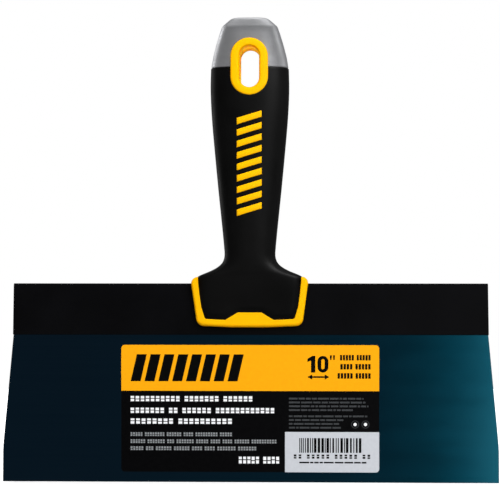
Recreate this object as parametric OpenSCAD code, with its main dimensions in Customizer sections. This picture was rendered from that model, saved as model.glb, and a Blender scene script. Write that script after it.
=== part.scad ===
// Drywall taping knife: a thin flared steel blade in a folded spine, a two-layer moulded
// handle riveted through the spine, a cast hammer cap and a hang hole with a two-piece bush.
// X runs along the blade, Y through its thickness with the front at -Y, and Z up the handle.
// The origin is the middle of the working edge, at mid thickness. Millimetres.

/* [Blade] */
// Length of the working edge
blade_w = 254; // [200:1:360]
// Thickness of the blade steel
blade_t = 0.5; // [0.4:0.05:0.8]
// Width of the blade where it enters the spine
blade_top_w = 243; // [190:1:350]
// Height of the straight part of each blade side
blade_side_h = 20.4; // [5:0.1:40]

/* [Spine] */
// Height of the spine's lower lips above the working edge
spine_z = 75.4; // [65:0.1:76]
// Height of the folded spine from its lips to its top
spine_h = 26.3; // [25:0.1:28]
// Length of the spine at its lips
spine_w = 243.4; // [190:0.1:350]
// Steel thickness of the folded spine
spine_wall = 1.0; // [0.8:0.1:1.2]

/* [Handle] */
// Thickness of the soft grip over the hard core
grip_t = 2.2; // [1.6:0.1:2.4]
// Height at which the grip ends and the end cap starts
cap_z = 211.5; // [208:0.5:213]
// Overall height of the knife
top_z = 237.1; // [236:0.1:240]

/* [Rivets] */
// Radius of a rivet's shank
rivet_r = 2.0; // [1.5:0.1:2.5]
// Radius of a rivet's head
rivet_head_r = 3.6; // [3:0.1:4]
// Distance between neighbouring rivets
rivet_pitch = 16; // [12:0.5:18]

/* [Hang hole] */
// Width of the hang hole's throat
hole_w = 10.0; // [7:0.1:11]
// Height of the hang hole's throat
hole_h = 20.9; // [16:0.1:22]
// Width of the bush's flange
flange_w = 19.1; // [18:0.1:20]
// Height of the bush's flange
flange_h = 29.1; // [28:0.1:30]

/* [Label] */
// Width of the label
label_w = 132; // [60:1:140]
// Height of the label
label_h = 65; // [30:1:66]
// Thickness of the label film
label_t = 0.15; // [0.1:0.01:0.3]

/* [Hidden] */

CURVE = 72;       // roundness of true curves
SECTION = 40;     // points round one section of the handle
DEEP = 60;        // longer than any depth through the handle
OVER = 1;         // how far a cutter runs past what it cuts

// Blade and spine
spine_top = spine_z + spine_h;
spine_half_t = blade_t / 2 + spine_wall;
spine_taper = 0.4;                       // each end leans in by this much at the top
fold_play = 0.2;                         // gap over the blade inside the fold
blade_top = spine_top - spine_half_t - fold_play;
blade_draw = 0.1;                        // lean of each straight side of the blade
tongue_step = 1;                         // each side of the blade steps in inside the fold

// Foot of the handle: the frame's front outline from the middle of its bottom edge
foot_z = 79.4;
foot_top = 105.1;
foot_half_bottom = 27.3;
foot_half_top = 29.7;
foot_bow = 0.6;                          // rise of the bottom edge towards its corners
foot_corner_r = 4;
arm_r = 3.3;                             // rounding of each arm's top
arm_lean = 8;                            // lean of the arms in degrees
arm_in = 26.2;                           // inner edge of the arms
sill_h = 3.9;                            // height of the frame's bottom bar
crown_h = 3.7;                           // rise of the bottom bar's raised middle
crown_half_base = 12.4;
crown_half_top = 6.0;
pad_half_low = 22.4;                     // half width of the pad at its bottom corners
pad_half_mid = 24.6;                     // and part way up
pad_mid_z = 90;
pad_corner_lift = 0.3;                   // rise of the pad's bottom edge to its corners
core_shoulder_z = 103;                   // top of the core's block between the arms
core_root_z = 92;                        // where the core's stem starts, inside its foot
shoulder_drop = 1.5;                     // the core's shoulder lies this much lower
foot_depth_low = 6.1;                    // half depth of the frame at its bottom
foot_depth_high = 8.9;                   // half depth of the frame at its top
foot_chamfer = 1.0;
pad_depth = 2.0;                         // thickness of the grip over the foot
rivet_z = 91.5;
rivet_head_t = 1.0;
rivet_head_y = 3.9;                      // depth at which a head seats in the core
seat_depth = 5;                          // counterbore depth, out past the core's face

// End cap
skirt_z = 201;                           // lower end of the cap's hidden skirt
cap_roof_z = 229;                        // inner face of the cap's striking end

// Hang hole bush
hang_z = cap_z + 0.1;
hole_r = hole_w / 2;
hole_run = hole_h - hole_w;              // distance between the slot's two centres
bush_wall = 1.6;
bush_y = 14.4;                           // crest of each flange
flange_r = flange_w / 2;
flange_run = flange_h - flange_w;
flange_seat_y = 11.2;                    // back of each flange
flange_chamfer = 0.9;
mouth_r = hole_r + 1.1;                  // radius of the rounded mouth at the crest
mouth_depth = 1.6;
lip_wall = bush_wall / 2;
lip_len = 3;                             // overlap of the bush halves at the middle

// A column of slanted slats on the core, which come up through windows in the soft grip
slats = 9;
slat_z0 = 136;                           // bottom of the column
slat_z1 = 188;                           // top of the column
slat_half_w = 6.3;
slat_rise = 3.8;                         // climb of each slat from its left end to its right
slat_share = 0.56;                       // slat height as a share of the pitch
slat_proud = 0.15;
slat_low_z = 133;                        // section heights that enclose the column
slat_high_z = 193;

// Label
label_z = 5.2;
label_r = 1.8;

// Soft grip's outer form: height, half width, half depth, squareness
GRIP = [
    [ 78.0, 27.2,  6.2, 7.0],
    [ 92.0, 27.2,  7.7, 7.0],
    [103.0, 27.0,  9.0, 6.0],
    [105.4, 26.2,  9.3, 5.2],
    [107.5, 21.4,  9.7, 4.2],
    [109.5, 17.2, 10.0, 3.5],
    [112.6, 13.9, 10.4, 2.9],
    [116.0, 13.0, 10.7, 2.6],
    [125.0, 13.7, 11.2, 2.5],
    [150.0, 16.2, 12.3, 2.5],
    [175.0, 18.6, 13.3, 2.5],
    [190.0, 19.7, 13.8, 2.6],
    [201.0, 20.1, 13.9, 2.7],
    [211.5, 19.9, 13.8, 2.8]
];
// Heights at which the grip's sections are drawn
GRIP_Z = [
    78, 92, 103, 104.2, 105.4, 106.4, 107.5, 108.5, 109.5, 111, 112.6, 114.2, 116,
    120, 125, 133, 142, 150, 159, 168, 176, 184, 193, skirt_z, 206, cap_z
];
// Cap's outer form, with straight sides between its sections
CAP = [
    [cap_z, 19.7, 13.5, 3.0],
    [217.0, 18.9, 13.4, 3.1],
    [223.0, 17.3, 13.1, 3.2],
    [229.0, 15.4, 12.6, 3.4],
    [232.6, 14.0, 12.0, 3.6],
    [top_z - 0.8, 9.9, 8.6, 3.6],
    [top_z, 8.4, 7.3, 3.6]
];
// Core's spigot inside the cap
SPIGOT = [
    [skirt_z,    16.2, 10.0, 2.8],
    [cap_z,      16.0, 10.0, 2.9],
    [223.0,      13.8,  9.6, 3.0],
    [cap_roof_z, 11.8,  9.0, 3.1]
];

// ---- Sections and lofts ----

// Index of the table's span that holds height z
function span(t, z, i = 0) = (i >= len(t) - 2 || z <= t[i + 1][0]) ? i : span(t, z, i + 1);

// Slope of column c at row i, from the rows on each side
function slope(t, i, c) =
    let (a = max(i - 1, 0), b = min(i + 1, len(t) - 1))
    (t[b][c] - t[a][c]) / (t[b][0] - t[a][0]);

// Smooth value of column c at height z
function smooth(t, z, c) =
    let (
        i = span(t, z),
        h = t[i + 1][0] - t[i][0],
        u = max(0, min(1, (z - t[i][0]) / h)),
        p = t[i][c],
        q = t[i + 1][c],
        m = slope(t, i, c) * h,
        n = slope(t, i + 1, c) * h
    )
    p * (2 * u ^ 3 - 3 * u ^ 2 + 1) + m * (u ^ 3 - 2 * u ^ 2 + u)
    + q * (3 * u ^ 2 - 2 * u ^ 3) + n * (u ^ 3 - u ^ 2);

// Rounded-rectangle section: a superellipse of half width a, half depth b and squareness n
function section(a, b, n, z) = [
    for (k = [0 : SECTION - 1])
        let (t = 360 * k / SECTION, c = cos(t), s = sin(t))
        [a * sign(c) * abs(c) ^ (2 / n), b * sign(s) * abs(s) ^ (2 / n), z]
];

// Solid through a list of sections
module loft(sections) {
    rows = len(sections);
    points = [for (r = sections) each r];
    low = [for (k = [0 : SECTION - 1]) k];
    high = [for (k = [SECTION - 1 : -1 : 0]) (rows - 1) * SECTION + k];
    sides = [
        for (r = [0 : rows - 2], k = [0 : SECTION - 1])
            let (a = r * SECTION + k, b = r * SECTION + (k + 1) % SECTION)
            each [[a, a + SECTION, b], [b, a + SECTION, b + SECTION]]
    ];
    polyhedron(points, concat([low, high], sides), convexity = 6);
}

// Loft of the grip's form between two heights, taken in by inset and shifted down by drop
module grip_form(z0, z1, inset = 0, drop = 0) {
    loft([
        for (z = GRIP_Z)
            if (z >= z0 && z <= z1)
                section(
                    smooth(GRIP, z + drop, 1) - inset,
                    smooth(GRIP, z, 2) - inset,
                    smooth(GRIP, z, 3),
                    z
                )
    ]);
}

// Loft straight through a table's own rows
module table_form(t) {
    loft([for (r = t) section(r[1], r[2], r[3], r[0])]);
}

// Extrudes a front-view outline through the depth, from y0 to y1
module through(y0, y1) {
    translate([0, y1, 0])
        rotate([90, 0, 0])
            linear_extrude(height = y1 - y0)
                children();
}

// Mirrors its children front to back as well
module both_faces() {
    children();
    mirror([0, 1, 0]) children();
}

// ---- Shared outlines ----

// Points of an arc round c from angle a0 to a1
function arc(c, r, a0, a1, n = 10) = [
    for (i = [0 : n])
        let (a = a0 + (a1 - a0) * i / n)
        c + r * [cos(a), sin(a)]
];

// Closed outline from its right half, read from the bottom up
function mirrored(half) = concat(
    half,
    [for (i = [len(half) - 1 : -1 : 0]) [-half[i][0], half[i][1]]]
);

// Upright slot of end radius r
module slot_outline(r, run) {
    for (s = [-1, 1])
        translate([0, s * run / 2]) circle(r = r, $fn = CURVE);
    square([2 * r, run], center = true);
}

// Slot-shaped plug that tapers from r0 at y0 to r1 at y1
module slot_taper(r0, r1, y0, y1, run = hole_run) {
    for (s = [-1, 1])
        translate([0, y0, hang_z + s * run / 2])
            rotate([-90, 0, 0])
                cylinder(r1 = r0, r2 = r1, h = y1 - y0, $fn = CURVE);
    translate([0, 0, hang_z - run / 2])
        linear_extrude(height = run)
            polygon([[-r0, y0], [r0, y0], [r1, y1], [-r1, y1]]);
}

// Slot-shaped plug of one radius from y0 to y1
module slot_plug(r, y0, y1, run = hole_run) {
    through(y0, y1) translate([0, hang_z]) slot_outline(r, run);
}

// Half depth of the foot frame at height z
function frame_depth(z) =
    foot_depth_low + (foot_depth_high - foot_depth_low) * (z - foot_z) / (foot_top - foot_z);

// Wedge between the front and back of the foot, taken in by inset
module foot_wedge(inset, chamfer = 0) {
    z_low = foot_z - (chamfer > 0 ? 0 : OVER);
    z_high = foot_top + OVER;
    low = frame_depth(foot_z + chamfer) - inset;
    high = frame_depth(z_high) - inset;
    rotate([90, 0, 90])
        linear_extrude(height = 2 * (foot_half_top + 2 * OVER), center = true)
            polygon([
                [-low + chamfer, z_low], [low - chamfer, z_low], [low, foot_z + chamfer],
                [high, z_high], [-high, z_high], [-low, foot_z + chamfer]
            ]);
}

// Front outline of the foot frame's block, with the arms standing above its shoulder
module frame_outline() {
    r = foot_corner_r;
    polygon(mirrored(concat(
        [[foot_half_bottom / 3, foot_z]],
        arc([foot_half_bottom - r, foot_z + foot_bow + r], r, -90, -arm_lean),
        arc([foot_half_top - arm_r, foot_top - arm_r], arm_r, -arm_lean, 90),
        [[arm_in, core_shoulder_z]]
    )));
}

// Front outline of the soft pad inside the frame, which widens over the arms and goes on up
module pad_outline() {
    z = foot_z + sill_h;
    polygon(mirrored([
        [crown_half_top, z + crown_h],
        [crown_half_base, z],
        [pad_half_low, z + pad_corner_lift],
        [pad_half_mid, pad_mid_z],
        [arm_in, core_shoulder_z],
        [arm_in, foot_top + OVER],
        [DEEP / 2, foot_top + OVER],
        [DEEP / 2, top_z]
    ]));
}

// ---- Solids that neighbours are cut by ----

module bush_envelope() {
    slot_plug(hole_r + bush_wall, -bush_y, bush_y);
    both_faces() slot_plug(flange_r, -bush_y, -flange_seat_y, flange_run);
}

module cap_envelope() {
    table_form(CAP);
    grip_form(skirt_z, cap_z, grip_t);
}

module rivet(x) {
    translate([x, 0, rivet_z])
        rotate([90, 0, 0]) {
            cylinder(r = rivet_r, h = 2 * rivet_head_y, center = true, $fn = CURVE);
            for (s = [-1, 1])
                translate([0, 0, s * (rivet_head_y + rivet_head_t / 2)])
                    cylinder(r = rivet_head_r, h = rivet_head_t, center = true, $fn = CURVE);
        }
}

// Counterbores that seat the rivet heads in the core's cheeks
module rivet_seats() {
    for (i = [-1 : 1])
        both_faces()
            translate([i * rivet_pitch, -rivet_head_y, rivet_z])
                rotate([90, 0, 0])
                    cylinder(r = rivet_head_r, h = seat_depth, $fn = CURVE);
}

module rivet_holes() {
    for (i = [-1 : 1])
        translate([i * rivet_pitch, 0, rivet_z])
            rotate([90, 0, 0])
                cylinder(r = rivet_r, h = DEEP, center = true, $fn = CURVE);
}

// Slats from inside the core's stem to just proud of the soft grip
module slat_column() {
    intersection() {
        difference() {
            grip_form(slat_low_z, slat_high_z, -slat_proud);
            grip_form(slat_low_z, slat_high_z, grip_t + OVER);
        }
        through(-DEEP, 0) slat_outline();
    }
}

// Core without its slot and holes
module core_body() {
    intersection() {
        through(-DEEP, DEEP) frame_outline();
        union() {
            difference() {
                foot_wedge(0, foot_chamfer);
                through(-DEEP, DEEP) pad_outline();
            }
            foot_wedge(pad_depth);
        }
    }
    grip_form(core_root_z, skirt_z, grip_t, shoulder_drop);
    table_form(SPIGOT);
    slat_column();
}

module slat_outline() {
    pitch = (slat_z1 - slat_z0) / slats;
    h = pitch * slat_share;
    for (i = [0 : slats - 1])
        translate([0, slat_z0 + pitch * i])
            polygon([
                [-slat_half_w, 0], [slat_half_w, slat_rise],
                [slat_half_w, slat_rise + h], [-slat_half_w, h]
            ]);
}

// Half-round-topped strip from z0 to the spine's top, taken along the blade for a length
module spine_form(z0, length) {
    crest = spine_top - spine_half_t;
    rotate([90, 0, 90])
        linear_extrude(height = length, center = true) {
            translate([0, crest]) circle(r = spine_half_t, $fn = CURVE);
            translate([-spine_half_t, z0]) square([2 * spine_half_t, crest - z0]);
        }
}

// ---- Parts ----

module blade() {
    color("midnightblue")
        difference() {
            through(-blade_t / 2, blade_t / 2)
                polygon(mirrored([
                    [blade_w / 2, 0],
                    [blade_w / 2 - blade_draw, blade_side_h],
                    [blade_top_w / 2, spine_z],
                    [blade_top_w / 2 - tongue_step, blade_top]
                ]));
            rivet_holes();
        }
}

module spine() {
    color("black")
        difference() {
            intersection() {
                spine_form(spine_z, spine_w);
                through(-DEEP, DEEP)
                    polygon(mirrored([
                        [spine_w / 2, spine_z], [spine_w / 2 - spine_taper, spine_top]
                    ]));
            }
            through(-blade_t / 2, blade_t / 2)
                translate([-spine_w / 2 - OVER, spine_z - OVER])
                    square([spine_w + 2 * OVER, blade_top + fold_play - spine_z + OVER]);
            rivet_holes();
        }
}

module rivet_left() {
    color("silver") rivet(-rivet_pitch);
}

module rivet_centre() {
    color("silver") rivet(0);
}

module rivet_right() {
    color("silver") rivet(rivet_pitch);
}

module handle_core() {
    color("gold")
        difference() {
            core_body();
            rivet_seats();
            rivet_holes();
            bush_envelope();
            spine_form(foot_z - OVER, 2 * DEEP);
        }
}

module soft_grip() {
    color([0.06, 0.06, 0.06])
        difference() {
            intersection() {
                grip_form(GRIP_Z[0], cap_z);
                through(-DEEP, DEEP) pad_outline();
            }
            difference() {
                core_body();
                rivet_seats();
            }
            for (i = [-1 : 1]) rivet(i * rivet_pitch);
            cap_envelope();
            bush_envelope();
        }
}

module end_cap() {
    color("gray")
        difference() {
            cap_envelope();
            table_form(SPIGOT);
            bush_envelope();
        }
}

// Half of the bush on one side; the front half carries the lip
module hang_bush_half(lip) {
    difference() {
        union() {
            slot_plug(hole_r + bush_wall, -flange_seat_y, 0);
            slot_plug(flange_r, -bush_y + flange_chamfer, -flange_seat_y, flange_run);
            slot_taper(
                flange_r - flange_chamfer, flange_r,
                -bush_y, -bush_y + flange_chamfer, flange_run
            );
            if (lip) slot_plug(hole_r + lip_wall, 0, lip_len);
        }
        slot_plug(hole_r, -bush_y - OVER, lip_len + OVER);
        slot_taper(mouth_r, hole_r, -bush_y, -bush_y + mouth_depth);
        if (!lip) slot_plug(hole_r + lip_wall, -lip_len, OVER);
    }
}

module hang_bush_front() {
    color("gold") hang_bush_half(true);
}

module hang_bush_rear() {
    color("gold") mirror([0, 1, 0]) hang_bush_half(false);
}

module label() {
    r = label_r;
    color("orange")
        through(-blade_t / 2 - label_t, -blade_t / 2)
            translate([0, label_z]) {
                for (s = [-1, 1], t = [r, label_h - r])
                    translate([s * (label_w / 2 - r), t]) circle(r = r, $fn = CURVE);
                translate([-label_w / 2, r]) square([label_w, label_h - 2 * r]);
                translate([-label_w / 2 + r, 0]) square([label_w - 2 * r, label_h]);
            }
}

blade();
spine();
rivet_left();
rivet_centre();
rivet_right();
handle_core();
soft_grip();
end_cap();
hang_bush_front();
hang_bush_rear();
label();
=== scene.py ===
"""Looks of a drywall taping knife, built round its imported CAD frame.

The knife stands on its working edge: X runs along the blade, -Y is the labelled front and
Z climbs the handle. Sizes below are in millimetres, and meshes are written in metres.
"""
import logging
import math
import random
from abc import ABC, abstractmethod
from collections.abc import Callable, Sequence
from dataclasses import dataclass, field
from enum import Enum

import bmesh
import bpy
import numpy as np
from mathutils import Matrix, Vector


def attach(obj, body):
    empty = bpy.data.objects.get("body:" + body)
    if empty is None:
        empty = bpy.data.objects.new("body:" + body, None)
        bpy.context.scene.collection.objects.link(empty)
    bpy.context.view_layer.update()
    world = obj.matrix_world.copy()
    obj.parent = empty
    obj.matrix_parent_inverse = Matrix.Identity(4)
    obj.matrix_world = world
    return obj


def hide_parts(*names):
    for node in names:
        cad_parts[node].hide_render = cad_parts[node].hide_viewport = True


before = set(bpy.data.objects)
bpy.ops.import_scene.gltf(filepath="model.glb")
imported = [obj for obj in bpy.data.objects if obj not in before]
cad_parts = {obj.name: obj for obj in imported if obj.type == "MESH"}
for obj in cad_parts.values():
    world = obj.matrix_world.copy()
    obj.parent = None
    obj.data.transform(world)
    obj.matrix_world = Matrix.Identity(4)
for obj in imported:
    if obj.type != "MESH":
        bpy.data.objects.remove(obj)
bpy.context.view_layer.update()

LOG = logging.getLogger("taping_knife")
MM = 0.001
BODY = "root"
# the mix node's colour sockets: first, second and result
MIX_FIRST, MIX_SECOND, MIX_RESULT = 6, 7, 2
Point = tuple[float, float]
Corner = tuple[float, float, float]
Depth = Callable[[float, float], float]


# ---------------------------------------------------------------- small maths


def smoothstep(value: float) -> float:
    """Return a smooth 0 to 1 ease of value, which is clamped to that span."""
    t = min(1.0, max(0.0, value))
    return t * t * (3.0 - 2.0 * t)


def srgb(red: int, green: int, blue: int) -> Corner:
    """Return a display colour of 0 to 255 channels as linear light."""
    channels = [c / 255.0 for c in (red, green, blue)]
    return tuple(c / 12.92 if c <= 0.04045 else ((c + 0.055) / 1.055) ** 2.4 for c in channels)


def interpolate(rows: Sequence[Sequence[float]], z: float) -> list[float]:
    """Read a table of sections at one height with a smooth curve through its rows.

    Args:
        rows: table rows that start with their height, in rising order.
        z: height to read at.

    Returns:
        The other columns at that height.
    """
    last = len(rows) - 1
    i = max(k for k in range(last) if k == 0 or rows[k][0] <= z)
    low, high = rows[i], rows[i + 1]
    span = high[0] - low[0]
    u = min(1.0, max(0.0, (z - low[0]) / span))

    def slope(k: int, column: int) -> float:
        """Return the slope of a column at row k, from its neighbours."""
        before, after = rows[max(k - 1, 0)], rows[min(k + 1, last)]
        return (after[column] - before[column]) / (after[0] - before[0])

    return [
        low[c] * (2 * u**3 - 3 * u**2 + 1)
        + slope(i, c) * span * (u**3 - 2 * u**2 + u)
        + high[c] * (3 * u**2 - 2 * u**3)
        + slope(i + 1, c) * span * (u**3 - u**2)
        for c in range(1, len(low))
    ]


def section(half_width: float, half_depth: float, squareness: float, count: int) -> np.ndarray:
    """Return a superellipse as points that crowd towards its tight corners.

    Args:
        half_width: half size along X.
        half_depth: half size along Y.
        squareness: exponent; 2 is an ellipse and larger is squarer.
        count: number of points.

    Returns:
        An array of count points, counter-clockwise from +X.
    """
    angle = np.linspace(0.0, 2.0 * math.pi, 1441)
    power = squareness / (squareness - 1.0)
    along = (half_width * np.abs(np.cos(angle))) ** power
    across = (half_depth * np.abs(np.sin(angle))) ** power
    x = np.sign(np.cos(angle)) * half_width * (along / (along + across)) ** (1 / squareness)
    y = np.sign(np.sin(angle)) * half_depth * (across / (along + across)) ** (1 / squareness)
    run = np.concatenate([[0.0], np.cumsum(np.hypot(np.diff(x), np.diff(y)))])
    measure = 0.5 * run / run[-1] + 0.5 * angle / angle[-1]
    wanted = np.arange(count) / count
    return np.stack([np.interp(wanted, measure, x), np.interp(wanted, measure, y)], axis=1)


def arc(centre: Point, radius: float, start: float, stop: float, steps: int = 12) -> list[Point]:
    """Return points of an arc, with its angles in degrees."""
    angles = [math.radians(start + (stop - start) * i / steps) for i in range(steps + 1)]
    return [(centre[0] + radius * math.cos(a), centre[1] + radius * math.sin(a)) for a in angles]


def mirrored(half: Sequence[Point]) -> list[Point]:
    """Return a closed outline from its right half, read from the bottom up."""
    return list(half) + [(-x, z) for x, z in reversed(half)]


def softened(rows: Sequence[Sequence[float]], reach: float, steps: int = 6) -> list[list[float]]:
    """Round every inner corner of a table of sections.

    Args:
        rows: table rows that start with their height.
        reach: distance along Z and width from a corner at which its rounding starts.
        steps: pieces in each rounded corner.

    Returns:
        The table with each inner row swapped for a short curve.
    """
    points = [np.array(row, float) for row in rows]
    out = [list(points[0])]
    for before, here, after in zip(points, points[1:], points[2:]):
        ends = []
        for other in (before, after):
            length = float(np.linalg.norm((other - here)[:2]))
            ends.append(here + (other - here) * min(0.45, reach / length))
        for i in range(steps + 1):
            t = i / steps
            out.append(list((1 - t) ** 2 * ends[0] + 2 * t * (1 - t) * here + t**2 * ends[1]))
    out.append(list(points[-1]))
    return out


# ---------------------------------------------------------------- mesh making


@dataclass
class Shell:
    """Vertices in millimetres and faces of one mesh in the making."""

    points: list[Corner] = field(default_factory=list)
    faces: list[list[int]] = field(default_factory=list)
    finish: list[int] = field(default_factory=list)

    def ring(self, points: Sequence[Corner]) -> list[int]:
        """Add points.

        Args:
            points: points in millimetres.

        Returns:
            Their indices.
        """
        start = len(self.points)
        self.points.extend(tuple(float(c) for c in p) for p in points)
        return list(range(start, len(self.points)))

    def face(self, corners: Sequence[int], finish: int = 0) -> None:
        """Add one face with the index of its finish."""
        self.faces.append(list(corners))
        self.finish.append(finish)

    def bridge(self, low: Sequence[int], high: Sequence[int], finish: int = 0) -> None:
        """Join two closed rings of equal length with quads.

        Args:
            low: indices of one ring.
            high: indices of the other ring.
            finish: index of the quads' finish.
        """
        count = len(low)
        for i in range(count):
            j = (i + 1) % count
            self.face([low[i], low[j], high[j], high[i]], finish)

    def loft(self, rings: Sequence[Sequence[Corner]]) -> None:
        """Join rings in order and close both ends.

        Args:
            rings: rings of points, all of equal length.
        """
        indices = [self.ring(points) for points in rings]
        for low, high in zip(indices, indices[1:]):
            self.bridge(low, high)
        self.face(list(reversed(indices[0])))
        self.face(indices[-1])

    def tube(self, rings: Sequence[Sequence[Corner]]) -> None:
        """Join rings in order and the last one back to the first.

        Args:
            rings: rings of points, all of equal length.
        """
        indices = [self.ring(points) for points in rings]
        for low, high in zip(indices, indices[1:] + indices[:1]):
            self.bridge(low, high)

    def block(self, low: Corner, high: Corner, finish: int = 0) -> None:
        """Add a closed box.

        Args:
            low: corner with the smallest coordinates.
            high: corner with the largest coordinates.
            finish: index of the box's finish.
        """
        lower = [(low[0], low[1]), (high[0], low[1]), (high[0], high[1]), (low[0], high[1])]
        a = self.ring([(x, y, low[2]) for x, y in lower])
        b = self.ring([(x, y, high[2]) for x, y in lower])
        self.bridge(a, b, finish)
        self.face(list(reversed(a)), finish)
        self.face(b, finish)

    def prism(
        self,
        outline: Sequence[Point],
        front: Depth,
        back: Depth,
        radii: Sequence[float],
        steps: int = 4,
        swap: bool = False,
    ) -> None:
        """Extrude an outline between two surfaces, with rounded edges.

        Args:
            outline: closed outline of (x, z), or of (y, z) when swap is set.
            front: height of the near end at a point of the outline.
            back: height of the far end there.
            radii: edge radius at each point of the outline.
            steps: pieces in each rounded edge.
            swap: extrude along X in place of Y.
        """
        inward = inset_vectors(outline)
        rings: list[list[Corner]] = []
        for level, direction in ((front, 1.0), (back, -1.0)):
            side = []
            for k in range(steps + 1):
                turn = math.radians(90.0 * k / steps)
                ring = []
                for (p, q), (dp, dq), radius in zip(outline, inward, radii):
                    shift = radius * (1.0 - math.sin(turn))
                    p1, q1 = p + dp * shift, q + dq * shift
                    h = level(p1, q1) + direction * radius * (1.0 - math.cos(turn))
                    ring.append((h, p1, q1) if swap else (p1, h, q1))
                side.append(ring)
            rings.extend(side if direction > 0 else reversed(side))
        self.loft(rings)

    def to_object(self, name: str, crease: float = 35.0) -> bpy.types.Object:
        """Make the Blender object, in metres, with outward normals.

        Args:
            name: the object's name.
            crease: edges sharper than this many degrees stay sharp.

        Returns:
            The new object, linked into the scene.
        """
        mesh = bpy.data.meshes.new(name)
        mesh.from_pydata([tuple(c * MM for c in p) for p in self.points], [], self.faces)
        mesh.polygons.foreach_set("material_index", self.finish)
        edit = bmesh.new()
        edit.from_mesh(mesh)
        bmesh.ops.recalc_face_normals(edit, faces=edit.faces)
        edit.to_mesh(mesh)
        edit.free()
        mesh.polygons.foreach_set("use_smooth", [True] * len(mesh.polygons))
        mesh.set_sharp_from_angle(angle=math.radians(crease))
        mesh.update()
        made = bpy.data.objects.new(name, mesh)
        bpy.context.scene.collection.objects.link(made)
        return made


def inset_vectors(outline: Sequence[Point]) -> list[Point]:
    """Find how the points of a closed outline move when it is inset.

    Args:
        outline: the closed outline.

    Returns:
        The step of each point for an inset of one unit.
    """
    points = np.array(outline, float)
    edges = np.roll(points, -1, axis=0) - points
    edges /= np.linalg.norm(edges, axis=1)[:, None]
    x, z = points[:, 0], points[:, 1]
    area = float(np.sum(x * np.roll(z, -1) - np.roll(x, -1) * z))
    inward = np.stack([-edges[:, 1], edges[:, 0]], axis=1) * (1.0 if area > 0 else -1.0)
    before = np.roll(inward, 1, axis=0)
    scale = 1.0 + np.sum(inward * before, axis=1)
    return [tuple(v) for v in (inward + before) / np.maximum(scale, 0.4)[:, None]]


def stadium(radius: float, run: float, y: float, steps: int = 28) -> list[Corner]:
    """Return an upright slot's outline about X = Z = 0.

    Args:
        radius: radius of the slot's round ends.
        run: distance between the centres of its ends.
        y: depth of the outline.
        steps: pieces in each round end.

    Returns:
        The outline as a closed ring.
    """
    upper = arc((0.0, run / 2), radius, 0.0, 180.0, steps)
    lower = arc((0.0, -run / 2), radius, 180.0, 360.0, steps)
    return [(x, y, z) for x, z in upper + lower]


def weight_normals(piece: bpy.types.Object) -> None:
    """Keep flat faces flat in shading beside their rounded edges.

    Args:
        piece: the piece to shade so.
    """
    modifier = piece.modifiers.new("weighted_normals", "WEIGHTED_NORMAL")
    modifier.weight = 100
    modifier.keep_sharp = True


def carve(piece: bpy.types.Object, cutter: bpy.types.Object) -> None:
    """Cut one mesh out of another and remove the cutter.

    Args:
        piece: the piece to cut.
        cutter: the shape to cut out of it.
    """
    modifier = piece.modifiers.new("carve", "BOOLEAN")
    modifier.object = cutter
    modifier.operation = "DIFFERENCE"
    modifier.solver = "EXACT"
    graph = bpy.context.evaluated_depsgraph_get()
    mesh = bpy.data.meshes.new_from_object(piece.evaluated_get(graph))
    mesh.name = piece.name
    piece.modifiers.clear()
    piece.data = mesh
    bpy.data.objects.remove(cutter)


# ---------------------------------------------------------------- finishes


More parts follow.
